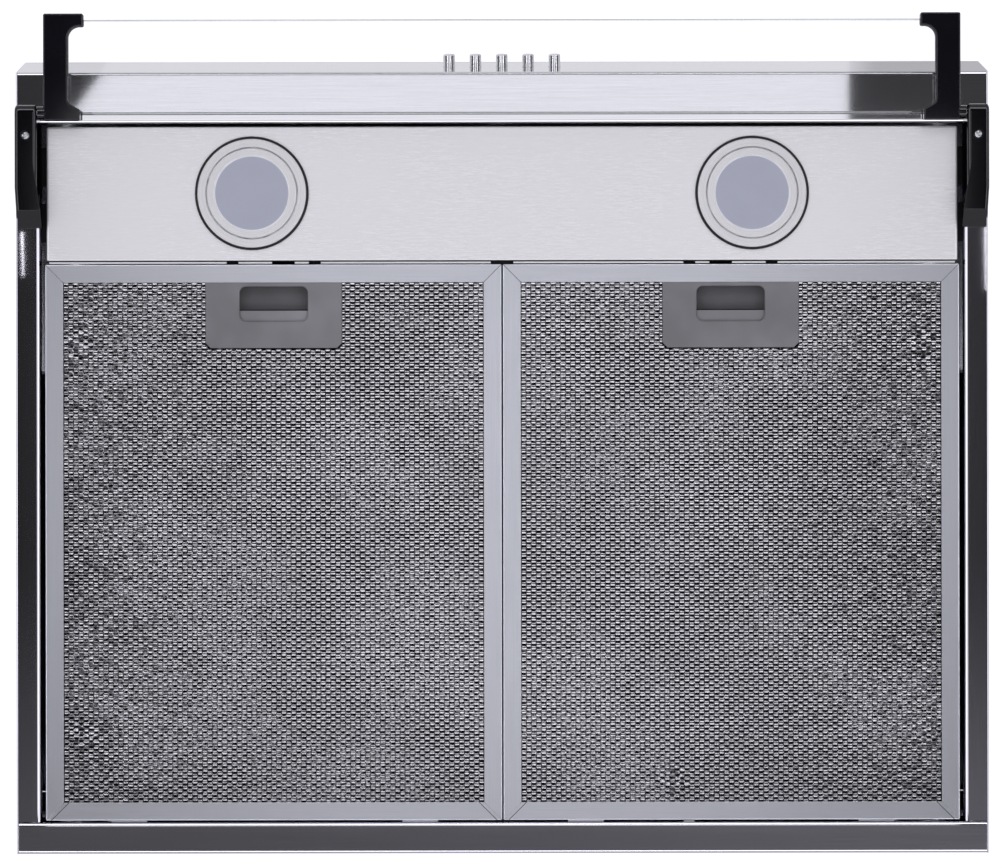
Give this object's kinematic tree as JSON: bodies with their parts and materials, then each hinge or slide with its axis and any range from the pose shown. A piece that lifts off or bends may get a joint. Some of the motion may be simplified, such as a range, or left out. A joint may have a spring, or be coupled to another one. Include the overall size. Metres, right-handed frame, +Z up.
{
  "type": "under-cabinet range hood",
  "caption": "Slim under-cabinet range hood with a fold-out glass visor, push buttons, lamps, latched grease filters, a centrifugal blower and a flapped round outlet.",
  "frame": {"origin": "middle of the four cabinet screw holes, on the flat top face", "axes": "+Z up towards the cabinet, -Y towards the cook, +X to the right as seen by the cook, along the hood's width"},
  "size_m": [0.6, 0.5177, 0.172],
  "materials": {
    "body_steel": "satin",
    "front_steel": "brushed",
    "panel_steel": "brushed",
    "zinc_steel": "zinc plated",
    "screw_steel": "polished",
    "lamp_rubber": "matt",
    "lamp_trim": "spun",
    "lamp_diffuser": "frosted",
    "lamp_metal": "satin",
    "filter_metal": "satin",
    "mesh_metal": "bright",
    "handle_grey": "fine texture",
    "latch_grey": "fine texture",
    "hinge_black": "gloss",
    "visor_clear": "clear",
    "button_chrome": "polished",
    "dark_plastic": "moulded",
    "scroll_plastic": "moulded",
    "impeller_plastic": "moulded",
    "motor_paint": "satin",
    "box_plastic": "moulded",
    "driver_plastic": "moulded"
  },
  "bodies": {
    "canopy": {"canopy_top": "body_steel", "side_panel_left": "body_steel", "side_panel_right": "body_steel", "rear_panel": "body_steel", "fascia": "front_steel", "filter_divider": "zinc_steel", "lamp_panel": "panel_steel", "panel_screws": "screw_steel", "lamp_gaskets": "lamp_rubber", "lamp_bezel_left": "lamp_trim", "lamp_bezel_right": "lamp_trim", "lamp_ring_left": "lamp_trim", "lamp_ring_right": "lamp_trim", "lamp_lens_left": "lamp_diffuser", "lamp_lens_right": "lamp_diffuser", "lamp_body_left": "lamp_metal", "lamp_body_right": "lamp_metal", "lamp_clips": "zinc_steel", "hinge_housing_left": "hinge_black", "hinge_housing_right": "hinge_black", "hinge_screws": "screw_steel", "pivot_pins": "screw_steel", "switch_body": "dark_plastic", "switch_bracket": "zinc_steel", "outlet_collar": "dark_plastic", "flap_pins": "screw_steel", "scroll_housing": "scroll_plastic", "blower_screws": "screw_steel", "scroll_inlet": "scroll_plastic", "motor_mount": "zinc_steel", "motor_body": "motor_paint", "terminal_box": "box_plastic", "terminal_box_lid": "box_plastic", "motor_capacitor": "driver_plastic", "led_driver": "driver_plastic", "cable_gland": "dark_plastic"},
    "visor": {"visor_bracket_left": "hinge_black", "visor_bracket_right": "hinge_black", "visor_glass": "visor_clear"},
    "filter_left": {"filter_frame_left": "filter_metal", "filter_mesh_left": "mesh_metal", "filter_handle_left": "handle_grey", "latch_spring_left": "screw_steel"},
    "latch_left": {"latch_slide_left": "latch_grey"},
    "filter_right": {"filter_frame_right": "filter_metal", "filter_mesh_right": "mesh_metal", "filter_handle_right": "handle_grey", "latch_spring_right": "screw_steel"},
    "latch_right": {"latch_slide_right": "latch_grey"},
    "button_1": {"button_1": "button_chrome"},
    "button_2": {"button_2": "button_chrome"},
    "button_3": {"button_3": "button_chrome"},
    "button_4": {"button_4": "button_chrome"},
    "button_5": {"button_5": "button_chrome"},
    "impeller": {"impeller_blades": "impeller_plastic", "impeller_ring": "impeller_plastic", "impeller_hub": "impeller_plastic", "motor_shaft": "screw_steel"},
    "flap_front": {"flap_front": "dark_plastic"},
    "flap_rear": {"flap_rear": "dark_plastic"}
  },
  "joints": [
    {"name": "visor_fold", "type": "hinge", "parent": "canopy", "child": "visor", "pos_m": [0, -0.3067, -0.1375], "axis": [1, 0, 0], "range_deg": [0, 180]},
    {"name": "filter_left_drop", "type": "hinge", "parent": "canopy", "child": "filter_left", "pos_m": [-0.1412, 0.1294, -0.1295], "axis": [1, 0, 0], "range_deg": [0, 35]},
    {"name": "latch_left_pull", "type": "slide", "parent": "filter_left", "child": "latch_left", "axis": [0, 1, 0], "range_m": [0, 0.0042], "stiffness_N_per_m": 400, "springref_m": -0.004, "deforming": ["latch_spring_left"]},
    {"name": "filter_right_drop", "type": "hinge", "parent": "canopy", "child": "filter_right", "pos_m": [0.1412, 0.1294, -0.1295], "axis": [1, 0, 0], "range_deg": [0, 35]},
    {"name": "latch_right_pull", "type": "slide", "parent": "filter_right", "child": "latch_right", "axis": [0, 1, 0], "range_m": [0, 0.0042], "stiffness_N_per_m": 400, "springref_m": -0.004, "deforming": ["latch_spring_right"]},
    {"name": "button_1_press", "type": "slide", "parent": "canopy", "child": "button_1", "axis": [0, 0.9836, 0.1803], "range_m": [0, 0.0035], "stiffness_N_per_m": 500, "springref_m": -0.003},
    {"name": "button_2_press", "type": "slide", "parent": "canopy", "child": "button_2", "axis": [0, 0.9836, 0.1803], "range_m": [0, 0.0035], "stiffness_N_per_m": 500, "springref_m": -0.003},
    {"name": "button_3_press", "type": "slide", "parent": "canopy", "child": "button_3", "axis": [0, 0.9836, 0.1803], "range_m": [0, 0.0035], "stiffness_N_per_m": 500, "springref_m": -0.003},
    {"name": "button_4_press", "type": "slide", "parent": "canopy", "child": "button_4", "axis": [0, 0.9836, 0.1803], "range_m": [0, 0.0035], "stiffness_N_per_m": 500, "springref_m": -0.003},
    {"name": "button_5_press", "type": "slide", "parent": "canopy", "child": "button_5", "axis": [0, 0.9836, 0.1803], "range_m": [0, 0.0035], "stiffness_N_per_m": 500, "springref_m": -0.003},
    {"name": "impeller_spin", "type": "hinge", "parent": "canopy", "child": "impeller", "pos_m": [-0.13, -0.036, -0.04], "axis": [0, 0, 1], "continuous": true},
    {"name": "flap_front_lift", "type": "hinge", "parent": "canopy", "child": "flap_front", "pos_m": [0, 0.0368, 0.0034], "axis": [-1, 0, 0], "range_deg": [0, 80]},
    {"name": "flap_rear_lift", "type": "hinge", "parent": "canopy", "child": "flap_rear", "pos_m": [0, 0.0432, 0.0034], "axis": [1, 0, 0], "range_deg": [0, 80]}
  ]
}
